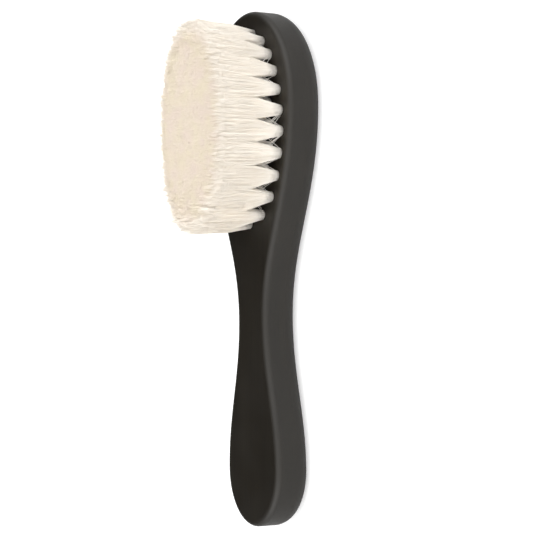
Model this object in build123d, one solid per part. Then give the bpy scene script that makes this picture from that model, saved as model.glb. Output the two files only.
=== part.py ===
"""Fade brush: a carved wooden body and an oval field of natural-hair tufts held by flat wire anchors.

Millimetres, +Z up. The brush lies on its flat back with the bristles upwards, and +X runs
along it towards the tip of the head. The origin is on the back, half way along the brush
and half way across it.
"""
from build123d import *
import os
from math import cos, hypot, pi, sin

# Wooden body: lengths along X, widths across Y, thickness up Z
handle_length = 102.0  # tail to the neck
head_length = 78.0  # neck to the tip of the head
body_thickness = 15.5
palm_width = 31.0  # widest place of the handle
palm_from_tail = 20.0
waist_width = 17.0  # narrowest place of the handle
waist_from_tail = 72.0
neck_width = 29.4  # where the handle runs out into the head
head_width = 50.0
head_widest_from_tip = 33.0
face_edge_radius = 2.0  # soft crease round the bristled face
back_edge_radius = 7.0  # full rounding round the back

# Field of tufts: bare wood left round it
rim_side = 4.0
rim_tip = 6.3
rim_neck = 1.7
tufts_outer = 23
tufts_second = 17
tufts_inner = 12
tufts_centre = 4
pitch_growth = 0.15  # tufts stand this much wider apart at the neck, and closer at the tip

# One tuft, its hole and its anchor
hole_diameter = 3.8
hole_depth = 9.0
hole_clearance = 0.1  # radial, between the hair and the wood
fold_radius = 1.0  # round the folded end of the bundle
flare_slope = 0.23  # radius gained for each millimetre above the face
tuft_reach = 3.05  # radius at which a free tuft stops flaring
tuft_gap = 0.3  # left between two neighbouring tufts
trim_height_edge = 23.5  # hair above the face at the rim of the field
trim_height_middle = 25.5
anchor_bite = 0.8  # what each end of the anchor sinks into the wood
anchor_turn = 15.0  # degrees off the length of the brush, which keeps neighbouring anchors apart
anchor_thickness = 0.4
anchor_height = 2.0
anchor_above_floor = 1.2  # room for the fold under the anchor
anchor_clearance = 0.05

# Derived places
body_length = handle_length + head_length
tail_x = -body_length / 2
tip_x = body_length / 2
neck_x = tail_x + handle_length
palm_x = tail_x + palm_from_tail
waist_x = tail_x + waist_from_tail
head_widest_x = tip_x - head_widest_from_tip
hole_floor = body_thickness - hole_depth
anchor_z = hole_floor + anchor_above_floor + anchor_height / 2
anchor_length = hole_diameter + 2 * anchor_bite
root_radius = hole_diameter / 2 - hole_clearance
field_end_tip = tip_x - rim_tip - root_radius
field_end_neck = neck_x + rim_neck + root_radius
field_x = (field_end_tip + field_end_neck) / 2
field_half_length = (field_end_tip - field_end_neck) / 2
field_half_width = head_width / 2 - rim_side - root_radius
ring_step = field_half_width / 3  # three rings and a row in the middle


def body_outline():
    """The plan of the body: two elliptical ends joined by smooth sides."""
    tail_end = EllipticalCenterArc(
        (palm_x, 0), palm_from_tail, palm_width / 2, start_angle=90, arc_size=90
    )
    handle_side = Spline(
        (palm_x, palm_width / 2),
        (waist_x, waist_width / 2),
        tangents=[(1, 0), (1, 0)],
    )
    head_side = Spline(
        (waist_x, waist_width / 2),
        (neck_x, neck_width / 2),
        (head_widest_x, head_width / 2),
        tangents=[(1, 0), (1, 0)],
    )
    head_end = EllipticalCenterArc(
        (head_widest_x, 0), head_widest_from_tip, head_width / 2, start_angle=0, arc_size=90
    )
    half = Curve() + [tail_end, handle_side, head_side, head_end]
    return make_face(half + mirror(half, about=Plane.XZ))


def ring_places(half_length, half_width, count):
    """Places spaced along an oval ring, the first one on the centre line at the neck."""
    steps = 720
    points = []
    for i in range(steps + 1):
        turn = pi - pi * i / steps
        points.append((half_length * cos(turn), half_width * sin(turn)))
    travelled = [0.0]
    for before, after in zip(points, points[1:]):
        travelled.append(travelled[-1] + hypot(after[0] - before[0], after[1] - before[1]))
    places = []
    for i in range(count):
        share = 2 * i / count
        side = 1 if share <= 1 else -1
        along = share if share <= 1 else 2 - share
        along = along + pitch_growth * (along - along * along)
        nearest = min(range(steps + 1), key=lambda k: abs(travelled[k] - along * travelled[-1]))
        places.append((field_x + points[nearest][0], side * points[nearest][1]))
    return places


def row_places(half_length, count):
    """Places in a straight row on the centre line, evenly between the two ends of the ring round it."""
    step = 2 * half_length / (count + 1)
    return [(field_x - half_length + step * (i + 1), 0.0) for i in range(count)]


def tuft_places():
    """The name and place of every tuft."""
    groups = {
        "outer": ring_places(field_half_length, field_half_width, tufts_outer),
        "second": ring_places(field_half_length - ring_step, field_half_width - ring_step, tufts_second),
        "inner": ring_places(
            field_half_length - 2 * ring_step, field_half_width - 2 * ring_step, tufts_inner
        ),
        "centre": row_places(field_half_length - 2 * ring_step, tufts_centre),
    }
    named = {}
    for group, places in groups.items():
        for number, place in enumerate(places, start=1):
            named[f"tuft_{group}_{number:02d}"] = place
    return named


def trim_height(place):
    """Height of the trimmed hair above the face, a low dome over the field."""
    out = hypot((place[0] - field_x) / field_half_length, place[1] / field_half_width)
    return trim_height_middle - (trim_height_middle - trim_height_edge) * min(out, 1.0) ** 2


def anchor_block(place, clearance):
    """The flat wire across one hole, grown by a clearance where it is used as a cutter."""
    wire = Box(
        anchor_length + 2 * clearance,
        anchor_thickness + 2 * clearance,
        anchor_height + 2 * clearance,
    )
    return Pos(place[0], place[1], anchor_z) * Rot(0, 0, anchor_turn) * wire


def wood_body(places):
    """Head and handle in one piece, with a blind hole and an anchor's seat for each tuft."""
    block = extrude(body_outline(), body_thickness)
    levels = block.edges().group_by(Axis.Z)
    block = fillet(levels[-1], face_edge_radius)
    levels = block.edges().group_by(Axis.Z)
    block = fillet(levels[0], back_edge_radius)
    hole = Cylinder(hole_diameter / 2, hole_depth, align=(Align.CENTER, Align.CENTER, Align.MIN))
    cutters = []
    for place in places:
        cutters.append(Pos(place[0], place[1], hole_floor) * hole)
        cutters.append(anchor_block(place, anchor_clearance))
    return block - cutters


def tuft(place, reach):
    """One bundle of hair: folded round its anchor in the hole, flared above the face, trimmed on top."""
    bottom = hole_floor + hole_clearance
    top = body_thickness + trim_height(place)
    flared_z = body_thickness + (reach - root_radius) / flare_slope
    fold_start = (root_radius - fold_radius, bottom)
    fold_end = (root_radius, bottom + fold_radius)
    side = Polyline(
        fold_end,
        (root_radius, body_thickness),
        (reach, flared_z),
        (reach, top),
        (0, top),
        (0, bottom),
        fold_start,
    )
    fold = RadiusArc(fold_start, fold_end, -fold_radius)
    profile = Plane.XZ * make_face(side + fold)
    bundle = Pos(place[0], place[1], 0) * revolve(profile, Axis.Z)
    return bundle - anchor_block(place, anchor_clearance)


def tuft_reaches(places):
    """How far each tuft may flare before it meets its nearest neighbour."""
    reaches = []
    for place in places:
        nearest = min(
            hypot(place[0] - other[0], place[1] - other[1]) for other in places if other != place
        )
        reaches.append(min(tuft_reach, (nearest - tuft_gap) / 2))
    return reaches


def main():
    os.makedirs("parts", exist_ok=True)
    named = tuft_places()
    places = list(named.values())
    export_step(wood_body(places), "parts/wood_body.step")
    export_step(Compound(children=[anchor_block(place, 0) for place in places]), "parts/anchors.step")
    for (name, place), reach in zip(named.items(), tuft_reaches(places)):
        export_step(tuft(place, reach), f"parts/{name}.step")


main()
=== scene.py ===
# %% [markdown]
# # A fade brush, finished in Blender
#
# A fade brush sweeps loose hair off the neck after a cut. It is one carved wooden body, lacquered
# black, with an oval field of 56 bundles of pale natural hair. Each bundle is folded over a flat
# wire and pulled down into a blind hole, then all of them are trimmed together.
#
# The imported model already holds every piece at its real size, so this script never moves or
# resizes one. It finishes the surfaces of the wood and the wire, and grows real hair where the
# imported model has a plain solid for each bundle. Everything is in metres, the brush lies on its
# back with the hair upwards, and +X runs along it towards the tip of the head.

# %% Load the fixed frame
import math

import bmesh
import bpy
from mathutils import Matrix, Vector


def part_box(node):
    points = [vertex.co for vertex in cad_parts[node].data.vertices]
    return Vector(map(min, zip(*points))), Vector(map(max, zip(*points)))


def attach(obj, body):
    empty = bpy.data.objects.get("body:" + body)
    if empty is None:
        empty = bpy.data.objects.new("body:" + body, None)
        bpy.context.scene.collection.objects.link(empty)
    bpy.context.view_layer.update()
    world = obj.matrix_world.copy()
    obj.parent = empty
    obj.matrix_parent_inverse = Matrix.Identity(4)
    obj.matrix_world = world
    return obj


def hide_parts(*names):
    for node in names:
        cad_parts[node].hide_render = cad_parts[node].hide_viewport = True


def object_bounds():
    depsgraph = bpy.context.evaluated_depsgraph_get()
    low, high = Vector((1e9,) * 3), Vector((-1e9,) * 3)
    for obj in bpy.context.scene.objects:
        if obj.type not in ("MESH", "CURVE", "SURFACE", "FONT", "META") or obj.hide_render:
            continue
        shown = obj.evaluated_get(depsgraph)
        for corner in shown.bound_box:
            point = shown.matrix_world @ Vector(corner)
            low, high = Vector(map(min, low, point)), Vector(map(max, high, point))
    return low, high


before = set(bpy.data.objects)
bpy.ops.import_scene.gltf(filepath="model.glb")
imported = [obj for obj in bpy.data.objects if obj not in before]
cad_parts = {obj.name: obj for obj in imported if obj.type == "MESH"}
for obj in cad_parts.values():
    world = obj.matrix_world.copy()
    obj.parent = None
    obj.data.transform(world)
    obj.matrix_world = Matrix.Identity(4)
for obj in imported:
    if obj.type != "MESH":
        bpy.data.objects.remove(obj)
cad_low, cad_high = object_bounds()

MM = 0.001
face_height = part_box("wood_body")[1].z
tuft_names = sorted(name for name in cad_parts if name.startswith("tuft_"))
print("frame:", len(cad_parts), "pieces, of them", len(tuft_names), "tufts of hair")

# %% [markdown]
# ## The camera
#
# The brush stands upright in the picture, with the tip of its head at the top, and the eye is
# 35 degrees above the table on the side that shows the hair and one long side of the wood. The view
# is set by three directions that can be said in words: what is right in the picture, what is up,
# and what points back to the eye.

# %% Place the camera
look_down = math.radians(35)  # how far the eye is above the table
lean = math.radians(1.73)  # the far end is the handle's
tilt = math.radians(-0.64)  # the brush stands almost straight up in the picture
eye_distance = 0.7
target = Vector((0, 0, 6 * MM))
slide_right = -2.0 * MM
slide_up = 0.68 * MM
lens = 134.3  # millimetres, before a 36 mm sensor


def view_directions():
    """Right, up and back to the eye, as unit vectors."""
    right = Vector((0, -math.sin(look_down), -math.cos(look_down)))
    back = Vector((0, -math.cos(look_down), math.sin(look_down)))
    up = Vector((1, 0, 0))
    leaned_up = math.cos(lean) * up + math.sin(lean) * back
    leaned_back = math.cos(lean) * back - math.sin(lean) * up
    turned_right = math.cos(tilt) * right + math.sin(tilt) * leaned_up
    turned_up = math.cos(tilt) * leaned_up - math.sin(tilt) * right
    return turned_right, turned_up, leaned_back


def add_object(name, data):
    """Puts a camera's or a mesh's data into the scene as an object."""
    made = bpy.data.objects.new(name, data)
    bpy.context.scene.collection.objects.link(made)
    return made


def add_camera():
    right, up, back = view_directions()
    eye = target + eye_distance * back + slide_right * right + slide_up * up
    camera = add_object("camera", bpy.data.cameras.new("camera"))
    camera.data.lens = lens
    camera.data.clip_start = 0.01
    turned = Matrix((right, up, back)).transposed().to_4x4()
    camera.matrix_world = Matrix.Translation(eye) @ turned
    bpy.context.scene.camera = camera
    print("camera at", [round(x, 3) for x in eye])


add_camera()

# %% [markdown]
# ## Small helpers for node trees
#
# The light of the room, the materials and Geometry Nodes are all trees of nodes. Built in a script,
# a tree is easiest to follow when each node is one call that says its kind, its options and what
# goes into it.

# %% Define the node helpers


def feed(tree, node, inputs):
    """Joins each input to another node's output, or gives it a plain value."""
    for name, value in inputs.items():
        if isinstance(value, bpy.types.NodeSocket):
            tree.links.new(value, node.inputs[name])
        else:
            node.inputs[name].default_value = value


def add_node(tree, kind, inputs=None, **options):
    """Adds a node with its options, and feeds its inputs."""
    made = tree.nodes.new(kind)
    for name, value in options.items():
        setattr(made, name, value)
    feed(tree, made, inputs or {})
    return made


def maths(tree, operation, *values, clamp=False):
    """One sum on numbers. Returns its output."""
    inputs = dict(enumerate(values))
    return add_node(tree, "ShaderNodeMath", inputs, operation=operation, use_clamp=clamp).outputs[0]


def vector_maths(tree, operation, *values):
    """One sum on vectors. Returns the vector it gives."""
    inputs = dict(enumerate(values))
    return add_node(tree, "ShaderNodeVectorMath", inputs, operation=operation).outputs[0]


def from_the_left(one_sum, operation):
    """Makes a sum that takes two or more values in a row."""

    def total(tree, first, *others):
        for other in others:
            first = one_sum(tree, operation, first, other)
        return first

    return total


plus = from_the_left(maths, "ADD")
minus = from_the_left(maths, "SUBTRACT")
times = from_the_left(maths, "MULTIPLY")
vector_plus = from_the_left(vector_maths, "ADD")
vector_minus = from_the_left(vector_maths, "SUBTRACT")


def scaled(tree, vector, factor):
    """A vector times a number."""
    inputs = {0: vector, "Scale": factor}
    return add_node(tree, "ShaderNodeVectorMath", inputs, operation="SCALE").outputs[0]


def dot_product(tree, first, second):
    inputs = {0: first, 1: second}
    return add_node(tree, "ShaderNodeVectorMath", inputs, operation="DOT_PRODUCT").outputs["Value"]


def vector_from(tree, x, y, z):
    return add_node(tree, "ShaderNodeCombineXYZ", {0: x, 1: y, 2: z}).outputs[0]


def own_place(tree):
    """The place of each point or corner that the tree works on."""
    return add_node(tree, "GeometryNodeInputPosition").outputs[0]


def parts_of(tree, vector):
    """The x, y and z of a vector, as three outputs."""
    return add_node(tree, "ShaderNodeSeparateXYZ", {0: vector}).outputs


print("node helpers are ready")

# %% Define ramps, colours and materials


def ramp(tree, value, start, end, low=0.0, high=1.0, smooth=False):
    """Carries a value from start..end over to low..high and stops at both ends."""
    inputs = {0: value, 1: start, 2: end, 3: low, 4: high}
    kind = "SMOOTHSTEP" if smooth else "LINEAR"
    return add_node(tree, "ShaderNodeMapRange", inputs, interpolation_type=kind).outputs[0]


def blend_colours(tree, share, first, second):
    """first where share is 0, second where it is 1."""
    inputs = {0: share, 6: first, 7: second}
    return add_node(tree, "ShaderNodeMix", inputs, data_type="RGBA").outputs[2]


def noise(tree, place, scale, detail=2.0, roughness=0.5):
    """Soft noise from 0 to 1, read at a place. Returns its number and its colour."""
    inputs = {"Vector": place, "Scale": scale, "Detail": detail, "Roughness": roughness}
    return add_node(tree, "ShaderNodeTexNoise", inputs).outputs


def new_material(name, colour):
    """A material with one Principled shader. Its plain colour shows wherever nodes can't."""
    made = bpy.data.materials.new(name)
    made.use_nodes = True
    shader = made.node_tree.nodes["Principled BSDF"]
    shader.inputs["Base Color"].default_value = (*colour, 1)
    return made, made.node_tree, shader


def wear(piece, material):
    """Leaves a piece with one slot, which holds this material."""
    piece.data.materials.clear()
    piece.data.materials.append(material)


print("ramps, colours and materials are ready")

# %% [markdown]
# ## The studio
#
# The lacquer is nearly black, so what the eye sees on it is mostly what it mirrors: the bright
# floor in its side, and the far side of the room in its face. The hair is nearly white, so it needs
# light from above, from the front and a little from everywhere, or the gaps between hairs go grey.
#
# So the room itself is the lamp, like a tent of white cloth. It is dark low behind the brush, and
# brightest over both of its ends, because a bright roof right over it would draw a hard line along
# the crease of the wood. A greyer patch on the camera's side keeps that crease soft too. The paper
# on the floor is pale grey, so the sides of the wood don't mirror too much light. The camera itself
# sees both the paper and the tent's wall evenly white.

# %% Build the floor and the light tent
floor_side = 6.0
wall_light = 0.76
front_light = 2.25  # the wall in front of the brush
roof_light = 0.35  # added to the wall's light straight overhead
ends_light = 1.75  # and over both ends
dark_side_light = 0.02  # how much of the tent's light is left there
floor_grey = 0.76  # of the paper, so that little light comes up from below
floor_glow = 0.4  # only for the camera, which sees the paper as white as the tent
dark_side = (0.0, 0.97, 0.25)  # the middle of the tent's dark side
camera_side = (0.0, -0.82, 0.57)  # the middle of the tent's greyer patch
camera_side_light = 0.6  # how much is left there


def add_floor():
    half = floor_side / 2
    corners = [(-half, -half, 0), (half, -half, 0), (half, half, 0), (-half, half, 0)]
    mesh = bpy.data.meshes.new("floor")
    mesh.from_pydata(corners, [], [(0, 1, 2, 3)])
    floor = add_object("floor", mesh)
    paper, tree, shader = new_material("white_paper", (floor_grey, floor_grey, floor_grey))
    seen = add_node(tree, "ShaderNodeLightPath").outputs["Is Camera Ray"]
    glow = times(tree, seen, floor_glow)
    feed(tree, shader, {"Roughness": 0.9, "Specular IOR Level": 0.2})
    feed(tree, shader, {"Emission Color": (1, 1, 1, 1), "Emission Strength": glow})
    mesh.materials.append(paper)


def light_the_tent():
    world = bpy.data.worlds.new("light_tent")
    world.use_nodes = True
    tree = world.node_tree
    way = add_node(tree, "ShaderNodeTexCoord").outputs["Generated"]
    long, side, up = parts_of(tree, way)

    roof = ramp(tree, up, 0.05, 0.55, smooth=True)
    ends = maths(tree, "ABSOLUTE", long)
    ends = ramp(tree, ends, 0.1, 0.7, roof_light, ends_light, smooth=True)
    walls = ramp(tree, side, -0.8, 0.2, front_light, wall_light, smooth=True)
    level = plus(tree, times(tree, roof, ends), walls)
    darker = ramp(tree, dot_product(tree, way, dark_side), 0.2, 0.85, 1.0, dark_side_light, smooth=True)
    greyer = dot_product(tree, way, camera_side)
    greyer = ramp(tree, greyer, 0.72, 0.95, 1.0, camera_side_light, smooth=True)
    level = times(tree, level, darker, greyer)
    ray = add_node(tree, "ShaderNodeLightPath").outputs["Is Camera Ray"]
    strength = add_node(tree, "ShaderNodeMix", {0: ray, 2: level, 3: 1.0}).outputs[0]
    feed(tree, tree.nodes["Background"], {"Strength": strength, "Color": (1, 1, 1, 1)})
    bpy.context.scene.world = world


add_floor()
light_the_tent()
bpy.context.scene.view_settings.view_transform = "Standard"
bpy.context.scene.cycles.diffuse_bounces = 10  # light goes far into pale hair
print("floor and light tent are ready")

# %% [markdown]
# ## A mottling that two finishes share
#
# No brushed or rolled coat is perfectly even: its gloss changes a little from place to place, and
# its surface has a very fine orange peel. The lacquer and the drawn wire both show this, at
# different sizes, so one node group gives both a mask for colour and gloss, and a height for bumps.

# %% Make the mottling group


def mottling_group():
    group = bpy.data.node_groups.new("mottling", "ShaderNodeTree")
    for name, kind in (("Place", "Vector"), ("Patch Size", "Float"), ("Grain Size", "Float")):
        group.interface.new_socket(name, in_out="INPUT", socket_type="NodeSocket" + kind)
    for name in ("Mask", "Height"):
        group.interface.new_socket(name, in_out="OUTPUT", socket_type="NodeSocketFloat")
    given = add_node(group, "NodeGroupInput").outputs
    patches = noise(group, given["Place"], maths(group, "DIVIDE", 1.0, given["Patch Size"]), 3.0)[0]
    peel = noise(group, given["Place"], maths(group, "DIVIDE", 1.0, given["Grain Size"]), 1.0)[0]
    mask = ramp(group, patches, 0.3, 0.7, smooth=True)
    add_node(group, "NodeGroupOutput", {"Mask": mask, "Height": peel})
    return group


mottling = mottling_group()


def add_mottling(tree, place, patch_size, grain_size):
    """The group placed in a material. Returns its mask and height."""
    inputs = {"Place": place, "Patch Size": patch_size, "Grain Size": grain_size}
    return add_node(tree, "ShaderNodeGroup", inputs, node_tree=mottling).outputs


print("mottling group:", len(mottling.nodes), "nodes")

# %% [markdown]
# ## Lacquered wood
#
# The body is beech or a similar close-grained wood, stained nearly black and sprayed with a satin
# lacquer. The pores of the wood run along the brush and only just show, as fine dark streaks and a
# faint relief under the coat. Along the crease round the face the coat is thinnest, because lacquer
# draws back from an edge, and hands polish it there.
#
# Noise stretched along one axis makes such a grain: the place is squeezed along X before the noise
# reads it, so each spot of noise becomes a long streak. The crease is found from the frame, as the
# band of height just under the face where the surface is neither level nor upright.

# %% Make the lacquered wood and give it to the body
crease_height = 2.2 * MM
grain_stretch = (0.045, 1.0, 1.0)
streaks_per_metre = 220.0
pores_per_metre = 1900.0
dark_stain = (0.0062, 0.0045, 0.0022, 1)
pale_stain = (0.0085, 0.0064, 0.0034, 1)
pore_colour = (0.004, 0.0034, 0.003, 1)
worn_colour = (0.034, 0.029, 0.024, 1)  # of the crease, where hands polish it


def lacquered_wood():
    made, tree, shader = new_material("satin_black_lacquer", (0.0125, 0.0105, 0.0085))
    place = add_node(tree, "ShaderNodeTexCoord").outputs["Object"]
    squeeze = add_node(tree, "ShaderNodeMapping", {"Vector": place, "Scale": grain_stretch})
    broad = noise(tree, squeeze.outputs[0], streaks_per_metre, 3.0)[0]
    pores = noise(tree, squeeze.outputs[0], pores_per_metre, 2.0)[0]
    mask, peel = add_mottling(tree, place, 16 * MM, 0.55 * MM)

    streak = ramp(tree, broad, 0.3, 0.7, smooth=True)
    stained = blend_colours(tree, streak, dark_stain, pale_stain)
    pore = ramp(tree, pores, 0.58, 0.72, smooth=True)
    stained = blend_colours(tree, times(tree, pore, 0.5), stained, pore_colour)

    height = parts_of(tree, place)[2]
    level = parts_of(tree, add_node(tree, "ShaderNodeNewGeometry").outputs["True Normal"])[2]
    near_face = ramp(tree, height, face_height - crease_height, face_height - 0.2 * MM, smooth=True)
    turned = ramp(tree, level, 0.97, 0.75, smooth=True)
    crease = times(tree, near_face, turned, ramp(tree, mask, 0.0, 1.0, 0.5, 1.0))
    stained = blend_colours(tree, times(tree, crease, 0.08), stained, worn_colour)

    gloss = ramp(tree, mask, 0.0, 1.0, 0.47, 0.53)
    gloss = plus(tree, gloss, times(tree, pore, 0.06))
    gloss = minus(tree, gloss, times(tree, crease, 0.02))
    relief = minus(tree, times(tree, peel, 0.5), times(tree, pore, 0.35))
    bump = add_node(tree, "ShaderNodeBump", {"Height": relief, "Strength": 0.35, "Distance": 0.03 * MM})

    feed(tree, shader, {"Base Color": stained, "Roughness": gloss, "Normal": bump.outputs[0], "IOR": 1.45})
    return made


wood = lacquered_wood()
wear(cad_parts["wood_body"], wood)
print("lacquered wood:", len(wood.node_tree.nodes), "nodes")

# %% [markdown]
# ## Anchor wire
#
# A flat brass wire lies across the bottom of each hole, pressed into the wood on both sides, and
# the hair is folded over it. Drawing the wire through its die leaves fine lines along it, so its
# gloss is uneven mostly across its length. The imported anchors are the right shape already.

# %% Make the wire's brass and give it to the anchors


def drawn_brass():
    made, tree, shader = new_material("drawn_brass", (0.62, 0.45, 0.2))
    place = add_node(tree, "ShaderNodeTexCoord").outputs["Object"]
    squeeze = add_node(tree, "ShaderNodeMapping", {"Vector": place, "Scale": (0.1, 1.0, 1.0)})
    mask, lines = add_mottling(tree, squeeze.outputs[0], 0.5 * MM, 0.05 * MM)
    colour = blend_colours(tree, mask, (0.55, 0.38, 0.15, 1), (0.68, 0.5, 0.25, 1))
    bump = add_node(tree, "ShaderNodeBump", {"Height": lines, "Strength": 0.3, "Distance": 0.01 * MM})
    gloss = ramp(tree, lines, 0.3, 0.7, 0.25, 0.42)
    feed(tree, shader, {"Base Color": colour, "Metallic": 1.0})
    feed(tree, shader, {"Roughness": gloss, "Normal": bump.outputs[0]})
    return made


brass = drawn_brass()
wear(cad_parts["anchors"], brass)
print("drawn brass:", len(brass.node_tree.nodes), "nodes")

# %% [markdown]
# ## The colour of natural hair
#
# Bleached goat or horse hair isn't one colour. Most hairs are a warm cream, patches lean to pink
# or to yellow, single hairs are lighter or darker, and each hair is palest near its root and
# warmer towards its trimmed tip.
#
# Tens of thousands of hairs can't each have a place of their own on a texture. So every hair lies
# on one of 64 narrow strips of a shared map: across the map the hue changes from strip to strip,
# four strips of each hue differ in lightness, and up the map runs the length of the hair.

# %% Make the hair's material
hair_map = "OFBake"
hue_steps = 16
shade_steps = 4
strips = hue_steps * shade_steps
pink_tip = (0.87, 0.777, 0.697, 1)
yellow_tip = (0.87, 0.802, 0.66, 1)
root_colour = (0.97, 0.94, 0.885, 1)
side_colour = (0.97, 0.925, 0.85, 1)
dark_hair = (0.5, 0.38, 0.25, 1)
darkest_share = 0.13  # how far the darkest shade leans to it


def natural_hair():
    made, tree, shader = new_material("bleached_hair", (0.9, 0.84, 0.75))
    across, along, _ = parts_of(tree, add_node(tree, "ShaderNodeUVMap", uv_map=hair_map).outputs[0])
    step = times(tree, across, float(hue_steps))
    hue = maths(tree, "DIVIDE", maths(tree, "FLOOR", step), hue_steps - 1.0, clamp=True)
    within = times(tree, maths(tree, "FRACT", step), float(shade_steps))
    shade = maths(tree, "DIVIDE", maths(tree, "FLOOR", within), shade_steps - 1.0, clamp=True)

    tip = blend_colours(tree, hue, pink_tip, yellow_tip)
    side = blend_colours(tree, ramp(tree, along, 0.05, 0.4), root_colour, side_colour)
    colour = blend_colours(tree, ramp(tree, along, 0.84, 0.97, smooth=True), side, tip)
    darkest = blend_colours(tree, darkest_share, colour, dark_hair)
    colour = blend_colours(tree, shade, darkest, colour)

    gloss = ramp(tree, shade, 0.0, 1.0, 0.8, 0.7)
    feed(tree, shader, {"Base Color": colour, "Roughness": gloss, "Specular IOR Level": 0.25})
    return made


hair = natural_hair()
print("natural hair:", strips, "strips of colour")

# %% [markdown]
# ## Where each bundle's hair ends up
#
# At the face of the wood a bundle is a tight round plug. Above it the hair spreads until it meets
# its neighbours, and from there all bundles stand together as one brush. So seen from the tips,
# each bundle owns the ground that is nearer to it than to any other: its cell. A cell is made here
# by cutting the outline of the whole brush with one straight line for each neighbour.
#
# The outline of the tips is an oval with fuller corners than an ellipse has. It is longer than the
# oval of holes, because the bundles at both ends fan out, and a little narrower, because those
# along the sides lean on their neighbours.

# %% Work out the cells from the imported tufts
tip_spread_long = 3.2 * MM  # how far the tips reach past the outer holes, along the brush
tip_spread_side = -0.5 * MM  # and across it
fullness = 2.2  # 2 would be an ellipse, more has fuller corners
middle_inset = 2.5 * MM  # from the outline to the middles of the outer bundles


def hole_place(name):
    low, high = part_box(name)
    return Vector(((low.x + high.x) / 2, (low.y + high.y) / 2, 0))


places = {name: hole_place(name) for name in tuft_names}
field_low = Vector(map(min, *places.values()))
field_high = Vector(map(max, *places.values()))
field_centre = (field_low + field_high) / 2
hole_half = (field_high - field_low) / 2
field_half = hole_half + Vector((tip_spread_long, tip_spread_side, 0))


def tip_middle(name):
    """Where the middle of a bundle's tips would be: its hole's place, carried over to the outline."""
    out = places[name] - field_centre
    long = out.x * (field_half.x - middle_inset) / hole_half.x
    side = out.y * (field_half.y - middle_inset) / hole_half.y
    return field_centre + Vector((long, side, 0))


def field_outline(inset, corners=120):
    outline = []
    for i in range(corners):
        turn = 2 * math.pi * i / corners
        long = math.copysign(abs(math.cos(turn)) ** (2 / fullness), math.cos(turn))
        side = math.copysign(abs(math.sin(turn)) ** (2 / fullness), math.sin(turn))
        corner = Vector(((field_half.x - inset) * long, (field_half.y - inset) * side, 0))
        outline.append(field_centre + corner)
    return outline


def cut_by_line(outline, middle, away):
    """Keeps the part of an outline that lies on the near side of a line through middle."""
    kept = []
    for here, after in zip(outline, outline[1:] + outline[:1]):
        depth = (here - middle).dot(away)
        next_depth = (after - middle).dot(away)
        if depth <= 0:
            kept.append(here)
        if depth * next_depth < 0:
            kept.append(here.lerp(after, depth / (depth - next_depth)))
    return kept


middles = {name: tip_middle(name) for name in tuft_names}


def cell_of(name, inset=0.0):
    outline = field_outline(inset)
    for other, middle in middles.items():
        if other != name:
            outline = cut_by_line(outline, (middles[name] + middle) / 2, middle - middles[name])
    return outline


cells = {name: cell_of(name) for name in tuft_names}
print("tip field", [round(x / MM, 1) for x in field_half * 2], "mm, cut into", len(cells), "cells")

# %% [markdown]
# ## The folded end and the heart of a bundle
#
# Below the face the folded bundle is squeezed into its hole round the wire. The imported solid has
# that shape already, so a copy of its mesh is merged, cut off just under the face and closed.
#
# Above the face the hair is so dense that no light comes through the middle of a bundle, and no
# single hair shows there. So each bundle has a closed heart, a solid that fills its cell and stops a
# little under the tips. The heart is first built upright in a space of its own, as wide as the cell
# and from 0 at the root to 1 at the top. The tree of nodes bends it together with the hairs, so
# both follow the same path.

# %% Cut the folded ends and build the upright hearts
end_height = face_height - 0.5 * MM
heart_share = 1.01  # of the cell, so that hearts just overlap
heart_root_share = 0.9  # of the root's radius
heart_inset = 0.35 * MM  # under the outermost hairs of the field
heart_rings = 8
corner_step = 1.2 * MM


def finely(outline):
    """The same outline, with its corners no further apart than a step."""
    fine = []
    for here, after in zip(outline, outline[1:] + outline[:1]):
        pieces = max(1, math.ceil((after - here).length / corner_step))
        fine += [here.lerp(after, i / pieces) for i in range(pieces)]
    return fine


def folded_end(name):
    """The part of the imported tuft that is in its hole. A slanted map gives every face some area."""
    shape = bmesh.new()
    shape.from_mesh(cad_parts[name].data)
    bmesh.ops.remove_doubles(shape, verts=shape.verts, dist=1e-6)
    everything = shape.verts[:] + shape.edges[:] + shape.faces[:]
    bmesh.ops.bisect_plane(shape, geom=everything, plane_co=(0, 0, end_height), plane_no=(0, 0, 1),
                           clear_outer=True)
    rim = [edge for edge in shape.edges if edge.is_boundary]
    bmesh.ops.holes_fill(shape, edges=rim, sides=0)
    bmesh.ops.recalc_face_normals(shape, faces=shape.faces)
    layer = shape.loops.layers.uv.new(hair_map)
    for face in shape.faces:
        for loop in face.loops:
            away = loop.vert.co - places[name]
            across = 0.5 + (0.7 * away.x + 0.5 * away.y) / (10 * MM)
            loop[layer].uv = (across, 0.01 + 0.08 * away.z / face_height + 0.2 * away.y)
    return shape


def upright_heart(name):
    """A closed solid in the heart's own space, on the lightest strip of the middle hue."""
    shape = bmesh.new()
    layer = shape.loops.layers.uv.new(hair_map)
    outline = finely(cell_of(name, heart_inset))
    offsets = [(corner - middles[name]) * heart_share for corner in outline]
    rings = []
    for k in range(heart_rings + 1):
        rings.append([shape.verts.new((offset.x, offset.y, k / heart_rings)) for offset in offsets])
    bottom = shape.verts.new((0, 0, 0))
    top = shape.verts.new((0, 0, 1))
    strip = shade_steps * (hue_steps // 2) + shade_steps - 1
    left = (strip + 0.1) / strips
    right = (strip + 0.9) / strips

    def add_face(corners, across):
        face = shape.faces.new(corners)
        for loop, u in zip(face.loops, across):
            loop[layer].uv = (u, 0.01 + 0.9 * loop.vert.co.z + 0.02 * (loop.vert in (bottom, top)))

    for i in range(len(offsets)):
        after = (i + 1) % len(offsets)
        add_face((bottom, rings[0][after], rings[0][i]), (left, left, right))
        add_face((top, rings[-1][i], rings[-1][after]), (left, left, right))
        for low, high in zip(rings, rings[1:]):
            add_face((low[i], low[after], high[after], high[i]), (left, right, right, left))
    return shape


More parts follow.
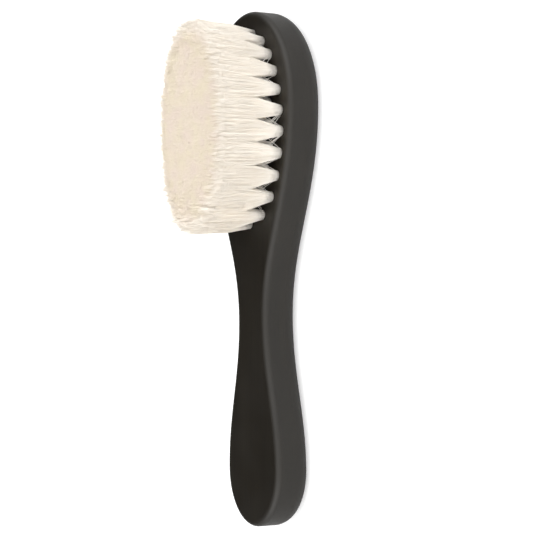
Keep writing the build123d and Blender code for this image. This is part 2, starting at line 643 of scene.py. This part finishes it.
def helper_object(name, shape):
    """An object for a shape that the tree reads. It is removed once the bundle is made."""
    mesh = bpy.data.meshes.new(name)
    shape.to_mesh(mesh)
    shape.free()
    mesh.materials.append(hair)
    return add_object(name, mesh)


print("folded ends are cut", round((face_height - end_height) / MM, 1), "mm under the face")

# %% [markdown]
# ## The ground a bundle's hairs are counted out on
#
# The tree scatters one point for each hair over the bundle's cell. A root stands as near to the rim
# of its hole as the tip does to the rim of the cell. So the cell is a fan of triangles with a shell
# round it, and each corner has a number, from 0 in the middle to 1 on the rim, that the scattered
# points take over. The shell is where hairs show along their whole length.

# %% Build the ground
rim_number = "nearness_to_rim"
shell_start = 0.78  # the shell is the outermost part of a bundle


def bundle_ground(name):
    outline = finely(cells[name])
    count = len(outline)
    inner = [middles[name].lerp(corner, shell_start) for corner in outline]
    shell = [(i, (i + 1) % count, count + (i + 1) % count, count + i) for i in range(count)]
    fan = [(count + i, count + (i + 1) % count, 2 * count) for i in range(count)]
    mesh = bpy.data.meshes.new(name + "_cell")
    mesh.from_pydata([tuple(corner) for corner in (*outline, *inner, middles[name])], [], shell + fan)
    numbers = mesh.attributes.new(rim_number, "FLOAT", "POINT")
    numbers.data.foreach_set("value", [1.0] * count + [shell_start] * count + [0.0])
    return add_object(name + "_cell", mesh)


print("ground: a shell and a fan of triangles for each cell")

# %% [markdown]
# ## Growing the hair with Geometry Nodes
#
# A hair is a thin closed tube with three sides and a few joints. The tree below scatters points
# over a bundle's cell, one for each hair, and puts a copy of one straight unit hair on each. Then
# it bends every copy at once, by moving its joints: the root stays in the hole, the hair spreads
# until the bundles meet, and its tip stops at the trimmed height of a low dome.
#
# Hair curves with a thickness would be lighter than a mesh, but they would be lost when the model
# leaves Blender.

# %% Name the tree's inputs and its small sums
tree_inputs = {
    "Geometry": ("Cell",),
    "Object": ("Folded End", "Heart"),
    "Material": ("Hair",),
    "Int": ("Seed", "Joints"),
    "Vector": ("Hole", "Middle", "Field Centre", "Field Half Size"),
    "Float": (
        "Tips Per Area", "Long Hairs Per Area", "Strays Per Area", "Heart Share", "Root Radius",
        "Face Height", "Root Depth", "Meeting Height", "Trim At Edge", "Trim At Middle",
        "Lock Size", "Raggedness", "Spike Height", "Splay", "Thickness", "Tip Start",
    ),
}


def random_number(tree, low, high, seed, turn):
    """A different number for each hair. turn keeps one use of chance apart from another."""
    inputs = {2: low, 3: high, 8: plus(tree, seed, float(turn))}
    return add_node(tree, "FunctionNodeRandomValue", inputs, data_type="FLOAT").outputs[1]


def random_step(tree, reach, seed, turn):
    """A small random step sideways for each hair."""
    inputs = {0: (-reach, -reach, 0), 1: (reach, reach, 0), 8: plus(tree, seed, float(turn))}
    return add_node(tree, "FunctionNodeRandomValue", inputs, data_type="FLOAT_VECTOR").outputs[0]


def from_centre(tree, given, place):
    """The way from the middle of the field to a place."""
    return vector_minus(tree, place, given["Field Centre"])


def rim_mask(tree, given, tip, start):
    """0 inside the field, 1 on its outermost line. Also how far out the tip is, from 0 to 1."""
    out = vector_maths(tree, "DIVIDE", from_centre(tree, given, tip), given["Field Half Size"])
    out = vector_maths(tree, "ABSOLUTE", out)
    long, side, _ = parts_of(tree, out)
    total = plus(tree, maths(tree, "POWER", long, fullness), maths(tree, "POWER", side, fullness))
    out = maths(tree, "POWER", total, 1 / fullness)
    return ramp(tree, out, start, 1.0), out


shoulder_start = 0.8  # how far out the dome begins to round off
shoulder_drop = 0.9 * MM


def dome_height(tree, given, tip):
    """Height above the face of the low dome that the brush is trimmed to."""
    rim, out = rim_mask(tree, given, tip, shoulder_start)
    drop = minus(tree, given["Trim At Middle"], given["Trim At Edge"])
    drop = times(tree, drop, times(tree, out, out))
    return minus(tree, given["Trim At Middle"], drop, times(tree, rim, rim, shoulder_drop))


def root_offset(tree, given, offset, nearness):
    """Where a root stands in its hole: the same way out as the tip, and just as near to the rim."""
    length = times(tree, given["Root Radius"], nearness)
    return scaled(tree, vector_maths(tree, "NORMALIZE", offset), length)


print("the tree has", sum(map(len, tree_inputs.values())), "named inputs")

# %% [markdown]
# ### Locks
#
# Fine hair never stands singly. A little grease and the cut gather some dozens of tips into a lock
# that ends in a point. A Voronoi texture gives each lock a middle and two random numbers: tips are
# drawn towards the middle, and those further from it end lower. Here and there the middle of a tall
# lock, or a single hair, stands out as a spike. All of this is stronger round the rim of the field,
# and strongest at the neck.

# %% Find a tip's lock, and how wild the hair is there
rim_start = 0.78  # how far out the locks begin to grow wilder
neck_wildness = 1.7  # of the spikes and the splay, against 1 elsewhere
neck_start = -10 * MM  # from the middle of the field
neck_full = -35 * MM


def locks(tree, given, place):
    """The middle of the lock that a place belongs to, its two numbers, and how far off the place is."""
    inputs = {"Vector": place, "Scale": maths(tree, "DIVIDE", 1.0, given["Lock Size"])}
    made = add_node(tree, "ShaderNodeTexVoronoi", inputs, voronoi_dimensions="2D").outputs
    numbers = parts_of(tree, made["Color"])
    return made["Position"], numbers[0], numbers[1], made["Distance"]


def wildness(tree, given, place):
    """How near a tip is to the rim of the field, and how near to the neck."""
    rim, _ = rim_mask(tree, given, place, rim_start)
    long = parts_of(tree, from_centre(tree, given, place))[0]
    return rim, ramp(tree, long, neck_start, neck_full, 1.0, neck_wildness)


print("locks are gathered round the middles of a Voronoi texture")

# %% Draw each tip to its lock and give it its height
gather_inside = 0.12  # share of the way to the middle of the lock
gather_rim = 0.25  # added on the rim
gather_spikes = 0.5  # added on the rim for a lock that stands out
spike_power = 5.0  # the higher, the fewer locks stand out
loner_power = 6.0  # the same for single hairs
loner_height = 0.75  # of a lock's spike
tip_jitter = 0.4 * MM
lock_heights = 2.2  # from the lowest lock to the tallest, times the raggedness
lock_slope = 1.6  # from a lock's middle down to its edge
loose_tip = (-1.8, 0.8)  # one tip against its lock


def drawn_to_lock(tree, given, place, lock, wild):
    """How far each tip is drawn: to the middle of its lock, and out of the field round the rim."""
    middle, number, lean, _ = lock
    rim, near_neck = wild
    share = maths(tree, "MULTIPLY_ADD", rim, gather_rim, gather_inside)
    standing_out = maths(tree, "POWER", number, spike_power)
    share = maths(tree, "MULTIPLY_ADD", standing_out, times(tree, rim, gather_spikes), share)
    draw = scaled(tree, vector_minus(tree, middle, place), share)
    outward = vector_maths(tree, "NORMALIZE", from_centre(tree, given, place))
    splay = scaled(tree, outward, times(tree, lean, rim, given["Splay"], near_neck))
    draw = vector_plus(tree, draw, splay)
    return vector_maths(tree, "MULTIPLY", draw, (1, 1, 0))


def raggedness(tree, given, lock, wild, seed):
    """How far each tip ends off the dome: with its lock, by its place in it, and by chance."""
    _, number, _, off = lock
    rim, _ = wild
    taller = times(tree, minus(tree, number, 0.5), lock_heights)
    pointed = times(tree, minus(tree, off, 0.35), lock_slope)
    together = times(tree, minus(tree, taller, pointed), maths(tree, "MULTIPLY_ADD", rim, 0.9, 0.5))
    alone = times(tree, random_number(tree, *loose_tip, seed, 3), plus(tree, rim, 1.0))
    return times(tree, plus(tree, together, alone), given["Raggedness"])


def spikes(tree, lock, wild, seed):
    """0 for most tips, more in the middle of a lock that stands out and for a single long hair."""
    _, number, _, off = lock
    rim, near_neck = wild
    spike = maths(tree, "SUBTRACT", 1.0, times(tree, off, 1.5), clamp=True)
    spike = times(tree, spike, maths(tree, "POWER", number, spike_power))
    loner = maths(tree, "POWER", random_number(tree, 0.0, 1.0, seed, 12), loner_power)
    spike = maths(tree, "MULTIPLY_ADD", loner, loner_height, spike)
    where = times(tree, ramp(tree, rim, 0.0, 0.4, 0.15, 1.0), near_neck)
    return times(tree, spike, where)


def tip_facts(tree, given, place, seed):
    """Where each tip stands on the plan, how far its lock draws it, and its height above the face."""
    lock = locks(tree, given, place)
    wild = wildness(tree, given, place)
    draw = drawn_to_lock(tree, given, place, lock, wild)
    tip = vector_plus(tree, place, random_step(tree, tip_jitter, seed, 1))
    ragged = raggedness(tree, given, lock, wild, seed)
    spike = spikes(tree, lock, wild, seed)
    ragged = maths(tree, "MULTIPLY_ADD", spike, given["Spike Height"], ragged)
    return tip, draw, plus(tree, dome_height(tree, given, place), ragged)


print("tips are drawn to their locks, and spikes stand out round the rim")

# %% [markdown]
# ### One hair
#
# The unit hair is a three-sided cylinder. Each of its joints remembers its own place on it, and
# from that and the facts about its hair its real place is worked out: how high along the hair, how
# far between root and tip, and how thick.

# %% Make the unit hair and the sums that bend it
early_spread = 0.88  # of the way out is done where the bundles meet, the rest by the top
hair_radius_share = 0.6  # makes a three-sided tube about as wide as a round hair


def unit_hair(tree, joints):
    """A straight hair one unit long and thick, and each joint's own place on it."""
    inputs = {"Vertices": 3, "Side Segments": joints, "Radius": 1.0, "Depth": 1.0}
    tube = add_node(tree, "GeometryNodeMeshCylinder", inputs).outputs["Mesh"]
    lifted = vector_plus(tree, own_place(tree), (0, 0, 0.5))
    captured = add_node(tree, "GeometryNodeCaptureAttribute")
    captured.capture_items.new("VECTOR", "Unit Place")
    feed(tree, captured, {"Geometry": tube, "Unit Place": lifted})
    return captured.outputs["Geometry"], captured.outputs["Unit Place"]


def bent_place(tree, given, facts, unit):
    """Where a joint of a hair, or of the heart, comes to lie."""
    x, y, along = parts_of(tree, unit)
    along = ramp(tree, along, 0.0, 1.0, facts["Start"], 1.0)
    full = plus(tree, facts["Top"], given["Root Depth"])
    height = times(tree, full, maths(tree, "POWER", along, 1.2))
    height = minus(tree, height, given["Root Depth"])
    met = maths(tree, "DIVIDE", height, facts["Meeting"], clamp=True)
    risen = maths(tree, "DIVIDE", height, facts["Top"], clamp=True)
    spread = plus(tree, times(tree, met, early_spread), times(tree, risen, 1 - early_spread))
    travel = vector_minus(tree, facts["Tip Offset"], facts["Root Offset"])
    bow = times(tree, risen, minus(tree, 4.0, times(tree, risen, 4.0)))
    gathered = scaled(tree, facts["Draw"], maths(tree, "POWER", risen, 4.0))
    offset = vector_plus(tree, facts["Root Offset"], scaled(tree, travel, spread),
                         scaled(tree, facts["Sway"], bow), gathered)
    fine_end = ramp(tree, along, 0.7, 1.0, 1.0, facts["Fineness"])
    thick = times(tree, given["Thickness"], hair_radius_share, facts["Stoutness"], fine_end)
    side = scaled(tree, vector_from(tree, x, y, 0.0), thick)
    rise = vector_from(tree, 0.0, 0.0, plus(tree, given["Face Height"], height))
    return vector_plus(tree, given["Hole"], offset, side, rise)


print("a hair is three-sided, and thinner at its tip")

# %% Lay a hair on the colour map
hue_patch = 7 * MM  # hairs that stand this near each other have like hues


def strip_place(tree, tip, seed):
    """The strip of the map that each hair lies on: its hue by the patch it is in, its shade by chance."""
    patch = noise(tree, tip, 1 / hue_patch, 2.0)[0]
    patch = ramp(tree, patch, 0.32, 0.68)
    hue = maths(tree, "ADD", patch, random_number(tree, -0.25, 0.25, seed, 4), clamp=True)
    hue = maths(tree, "FLOOR", times(tree, hue, hue_steps - 0.01))
    shade = maths(tree, "FLOOR", random_number(tree, 0.0, shade_steps - 0.01, seed, 5))
    strip = maths(tree, "MULTIPLY_ADD", hue, float(shade_steps), shade)
    return maths(tree, "DIVIDE", strip, float(strips))


def map_place(tree, facts, unit):
    """Where a joint lies on the map. The three sides share the strip, and both ends keep some area."""
    x, y, along = parts_of(tree, unit)
    along = ramp(tree, along, 0.0, 1.0, facts["Start"], 1.0)
    turn = maths(tree, "DIVIDE", maths(tree, "ARCTAN2", y, x), 2 * math.pi)
    turn = maths(tree, "FRACT", plus(tree, turn, 1.05))
    side = maths(tree, "FLOOR", times(tree, turn, 3.0))
    within = maths(tree, "MULTIPLY_ADD", side, 0.4 / strips, 0.1 / strips)
    peak = times(tree, side, minus(tree, 2.0, side))
    full = maths(tree, "MULTIPLY_ADD", facts["Rim"], -0.1, 0.95)
    up = maths(tree, "MULTIPLY_ADD", along, full, 0.01)
    up = maths(tree, "MULTIPLY_ADD", peak, 0.02, up)
    return vector_from(tree, plus(tree, facts["Strip"], within), up, 0.0)


print("a patch of like hue is", round(hue_patch / MM, 1), "mm wide")

# %% [markdown]
# ### Many hairs
#
# The same few steps grow three crops. Most hairs show only their tips, so they start high up inside
# the heart and need no joints between. In the shell of a bundle, on the side that faces out of the
# field, hairs show from root to tip and are long. Last come a handful of strays: a stray leaves its
# bundle sooner and further than the others, across the dark gap to its neighbour, in one smooth bow,
# so it has more joints.

# %% Say what makes the crops different
stray_joints = 9
stoutness = {"tip": (1.0, 1.4), "long": (0.75, 1.15), "stray": (1.2, 1.8)}  # least and most
fineness = {"tip": 0.85, "long": 0.5, "stray": 0.5}  # of its end, against the rest of the hair
sway = {"tip": 0.2 * MM, "long": 0.2 * MM, "stray": 0.5 * MM}
outermost = 0.9  # of the way to the outline, for a stray's tip
shell_facing = -0.45  # the shell reaches a little past the bundle's two sides
shell_nearness = 0.7
stray_reach = 5.5 * MM  # along the rim, either way
stray_meeting = (0.25, 0.8)  # against the meeting height of the others
stray_top = (0.6, 0.93)  # against the height of the others
root_jitter = 0.05 * MM
rim_colour_start = 0.84  # tips outside it show the paler side of the hair


def kept_inside(tree, given, tip):
    """Draws back a tip that would stand too near to the outline, or past it."""
    _, out = rim_mask(tree, given, tip, 0.5)
    beyond = maths(tree, "MAXIMUM", maths(tree, "DIVIDE", out, outermost), 1.0)
    back = maths(tree, "DIVIDE", 1.0, beyond)
    offset = scaled(tree, from_centre(tree, given, tip), back)
    return vector_plus(tree, given["Field Centre"], offset)


def outward_shell(tree, given, nearness):
    """True on the part of the ground whose hairs show along their whole length."""
    offset = vector_maths(tree, "NORMALIZE", vector_minus(tree, own_place(tree), given["Middle"]))
    outward = vector_maths(tree, "NORMALIZE", from_centre(tree, given, given["Hole"]))
    facing_out = maths(tree, "GREATER_THAN", dot_product(tree, offset, outward), shell_facing)
    return times(tree, facing_out, maths(tree, "GREATER_THAN", nearness, shell_nearness))


def stray_path(tree, given, tip, top, seed):
    """A stray's tip, top and meeting height: it leans along the rim, leaves early and ends low."""
    outward = from_centre(tree, given, given["Hole"])
    along_rim = vector_maths(tree, "CROSS_PRODUCT", outward, (0, 0, 1))
    along_rim = vector_maths(tree, "NORMALIZE", along_rim)
    away = random_number(tree, -stray_reach, stray_reach, seed, 7)
    tip = vector_plus(tree, tip, scaled(tree, along_rim, away))
    meeting = times(tree, given["Meeting Height"], random_number(tree, *stray_meeting, seed, 8))
    top = times(tree, top, random_number(tree, *stray_top, seed, 11))
    return tip, top, meeting


print("crops:", ", ".join(stoutness))

# %% Scatter the points of a crop


def growing_ground(tree, given, nearness, kind):
    """Where a crop grows: the shell, or for tips all the rest and any shell without long hairs."""
    shell = outward_shell(tree, given, nearness)
    if kind != "tip":
        return shell
    has_long = maths(tree, "GREATER_THAN", given["Long Hairs Per Area"], given["Tips Per Area"])
    return minus(tree, 1.0, times(tree, shell, has_long))


def scatter(tree, given, density, seed, kind):
    """One point for each hair, and all that its hair has to know, kept with the point."""
    number = add_node(tree, "GeometryNodeInputNamedAttribute", {"Name": rim_number}, data_type="FLOAT")
    nearness = number.outputs[0]
    ground = growing_ground(tree, given, nearness, kind)
    inputs = {"Mesh": given["Cell"], "Selection": ground, "Density": density, "Seed": seed}
    points = add_node(tree, "GeometryNodeDistributePointsOnFaces", inputs).outputs["Points"]
    place = own_place(tree)
    tip, draw, top = tip_facts(tree, given, place, seed)
    end = tip
    meeting = given["Meeting Height"]
    if kind == "stray":
        tip, top, meeting = stray_path(tree, given, tip, top, seed)
        end = kept_inside(tree, given, tip)
    root = root_offset(tree, given, vector_minus(tree, place, given["Middle"]), nearness)
    root = vector_plus(tree, root, random_step(tree, root_jitter, seed, 2))
    facts = (
        ("VECTOR", "Tip Offset", vector_minus(tree, end, given["Hole"])),
        ("VECTOR", "Root Offset", root),
        ("VECTOR", "Draw", draw),
        ("FLOAT", "Top", top),
        ("FLOAT", "Meeting", meeting),
        ("FLOAT", "Strip", strip_place(tree, tip, seed)),
        ("VECTOR", "Sway", random_step(tree, sway[kind], seed, 9)),
        ("FLOAT", "Stoutness", random_number(tree, *stoutness[kind], seed, 10)),
        ("FLOAT", "Start", given["Tip Start"] if kind == "tip" else 0.0),
        ("FLOAT", "Fineness", fineness[kind]),
        ("FLOAT", "Rim", rim_mask(tree, given, place, rim_colour_start)[0]),
    )
    captured = add_node(tree, "GeometryNodeCaptureAttribute", {"Geometry": points})
    for sort, name, value in facts:
        captured.capture_items.new(sort, name)
        feed(tree, captured, {name: value})
    return captured.outputs


print("each point keeps its hair's path, thickness and colour")

# %% Grow a crop of hairs


def crop(tree, given, density, joints, seed, kind):
    """Loose hairs, bent into place and laid on the colour map."""
    facts = scatter(tree, given, density, seed, kind)
    hair_mesh, unit = unit_hair(tree, joints)
    inputs = {"Points": facts["Geometry"], "Instance": hair_mesh}
    copies = add_node(tree, "GeometryNodeInstanceOnPoints", inputs).outputs[0]
    loose = add_node(tree, "GeometryNodeRealizeInstances", {"Geometry": copies}).outputs[0]
    inputs = {"Geometry": loose, "Position": bent_place(tree, given, facts, unit)}
    bent = add_node(tree, "GeometryNodeSetPosition", inputs).outputs[0]
    inputs = {"Geometry": bent, "Name": hair_map, "Value": map_place(tree, facts, unit)}
    mapped = add_node(tree, "GeometryNodeStoreNamedAttribute", inputs, data_type="FLOAT2",
                      domain="CORNER").outputs[0]
    return add_node(tree, "GeometryNodeSetShadeSmooth", {"Geometry": mapped}).outputs[0]


# %% [markdown]
# ### The whole bundle
#
# The heart goes through the same bending as a hair with no thickness, each of its corners being
# one hair's joint. Heart, folded end and the three crops are joined and get the hair's material.

# %% Build the tree
heart_sink = 1.1 * MM  # how far the heart stops under the tips
heart_sink_rim = 0.5 * MM  # added on the rim, where the tips are raggedest


def bent_heart(tree, given):
    heart = add_node(tree, "GeometryNodeObjectInfo", {"Object": given["Heart"]}).outputs["Geometry"]
    unit = own_place(tree)
    offset = vector_maths(tree, "MULTIPLY", unit, (1, 1, 0))
    tip = vector_plus(tree, offset, given["Middle"])
    rim, _ = rim_mask(tree, given, tip, 0.6)
    sink = maths(tree, "MULTIPLY_ADD", rim, heart_sink_rim, heart_sink)
    upright = vector_maths(tree, "MULTIPLY", unit, (0, 0, 1))
    facts = {
        "Tip Offset": vector_minus(tree, tip, given["Hole"]),
        "Root Offset": root_offset(tree, given, offset, given["Heart Share"]),
        "Top": minus(tree, dome_height(tree, given, tip), sink),
        "Meeting": given["Meeting Height"],
        "Sway": (0, 0, 0),
        "Draw": (0, 0, 0),
        "Stoutness": 0.0,  # the heart's corners have no thickness of their own
        "Start": 0.0,
        "Fineness": 1.0,
    }
    inputs = {"Geometry": heart, "Position": bent_place(tree, given, facts, upright)}
    return add_node(tree, "GeometryNodeSetPosition", inputs).outputs[0]


def hair_tree():
    tree = bpy.data.node_groups.new("hair_bundle", "GeometryNodeTree")
    for kind, names in tree_inputs.items():
        for name in names:
            tree.interface.new_socket(name, in_out="INPUT", socket_type="NodeSocket" + kind)
    tree.interface.new_socket("Bundle", in_out="OUTPUT", socket_type="NodeSocketGeometry")
    given = add_node(tree, "NodeGroupInput").outputs
    seed = given["Seed"]
    long_seed = plus(tree, seed, 25.0)
    stray_seed = plus(tree, seed, 50.0)
    parts = (
        add_node(tree, "GeometryNodeObjectInfo", {"Object": given["Folded End"]}).outputs["Geometry"],
        bent_heart(tree, given),
        crop(tree, given, given["Tips Per Area"], 1, seed, "tip"),
        crop(tree, given, given["Long Hairs Per Area"], given["Joints"], long_seed, "long"),
        crop(tree, given, given["Strays Per Area"], stray_joints, stray_seed, "stray"),
    )
    joined = add_node(tree, "GeometryNodeJoinGeometry")
    for part in reversed(parts):
        tree.links.new(part, joined.inputs[0])
    real = add_node(tree, "GeometryNodeRealizeInstances", {"Geometry": joined.outputs[0]}).outputs[0]
    dressed = add_node(tree, "GeometryNodeSetMaterial", {"Geometry": real, "Material": given["Hair"]})
    add_node(tree, "NodeGroupOutput", {"Bundle": dressed.outputs[0]})
    return tree


bundle_tree = hair_tree()
print("hair tree:", len(bundle_tree.nodes), "nodes")

# %% [markdown]
# ## Grow all the bundles
#
# The outer bundles are seen from their roots up, so they get many long hairs and all the strays. The
# second ring is seen through the gaps between them and gets a few. Further in, only the tips show.

# %% Grow the bundles
long_density = {"outer": 72.0 / MM**2, "second": 20.0 / MM**2}  # hairs that show from root to tip
stray_density = {"outer": 0.9 / MM**2}
dome_drop = 0.9 * MM  # how much lower the rim of the field is trimmed
trim_room = 0.1 * MM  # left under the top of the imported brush
trim_at_middle = cad_high.z - face_height - trim_room
same_for_all = {
    "Heart Share": heart_root_share,
    "Hair": hair,
    "Tips Per Area": 53.0 / MM**2,
    "Root Radius": 1.65 * MM,
    "Face Height": face_height,
    "Root Depth": 0.6 * MM,
    "Meeting Height": 10.5 * MM,
    "Trim At Edge": trim_at_middle - dome_drop,
    "Trim At Middle": trim_at_middle,
    "Field Centre": tuple(field_centre),
    "Field Half Size": (field_half.x, field_half.y, 1.0),
    "Lock Size": 1.0 * MM,
    "Raggedness": 0.26 * MM,
    "Spike Height": 2.2 * MM,
    "Splay": 0.9 * MM,
    "Thickness": 0.09 * MM,
    "Tip Start": 0.8,
    "Joints": 4,
}


def set_inputs(modifier, values):
    """Fills a modifier's inputs, which are stored under each socket's identifier."""
    for item in modifier.node_group.interface.items_tree:
        if item.item_type == "SOCKET" and item.in_out == "INPUT" and item.name in values:
            modifier[item.identifier] = values[item.name]


def grow_bundle(number, name):
    ring = name.split("_")[1]
    grower = bundle_ground(name)
    end = helper_object(name + "_end", folded_end(name))
    heart = helper_object(name + "_heart", upright_heart(name))
    modifier = grower.modifiers.new("hair", "NODES")
    modifier.node_group = bundle_tree
    set_inputs(modifier, same_for_all | {
        "Folded End": end,
        "Heart": heart,
        "Long Hairs Per Area": long_density.get(ring, 0.0),
        "Strays Per Area": stray_density.get(ring, 0.0),
        "Seed": 100 * number,
        "Hole": tuple(places[name]),
        "Middle": tuple(middles[name]),
    })
    graph = bpy.context.evaluated_depsgraph_get()
    mesh = bpy.data.meshes.new_from_object(grower.evaluated_get(graph), depsgraph=graph)
    mesh.name = "hair_" + name
    mesh.attributes.remove(mesh.attributes[rim_number])
    bundle = add_object("hair_" + name, mesh)
    wear(bundle, hair)
    mesh.polygons.foreach_set("material_index", [0] * len(mesh.polygons))
    for helper in (grower, end, heart):
        bpy.data.objects.remove(helper)
    return bundle


bundles = {name: grow_bundle(number, name) for number, name in enumerate(tuft_names)}
hair_faces = {name: len(bundle.data.polygons) for name, bundle in bundles.items()}
print("hair:", len(bundles), "bundles,", sum(hair_faces.values()), "faces, at most",
      max(hair_faces.values()), "in one; materials", len(next(iter(bundles.values())).data.materials))

# %% [markdown]
# ## Hand the bundles over to the frame
#
# Each bundle of hair stands for the plain solid of the same tuft, which is hidden, and rides on the
# brush's one body. It wears the material of the hair.

# %% Tie the bundles to the frame
for name, bundle in bundles.items():
    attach(bundle, "root")
    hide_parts(name)

# %% [markdown]
# ## The size
#
# The finished brush must be as large as the imported one. Only the imported brush's box is printed.

# %% Print the imported box
print("cad   ", [round(x / MM, 1) for x in (*cad_low, *cad_high)])
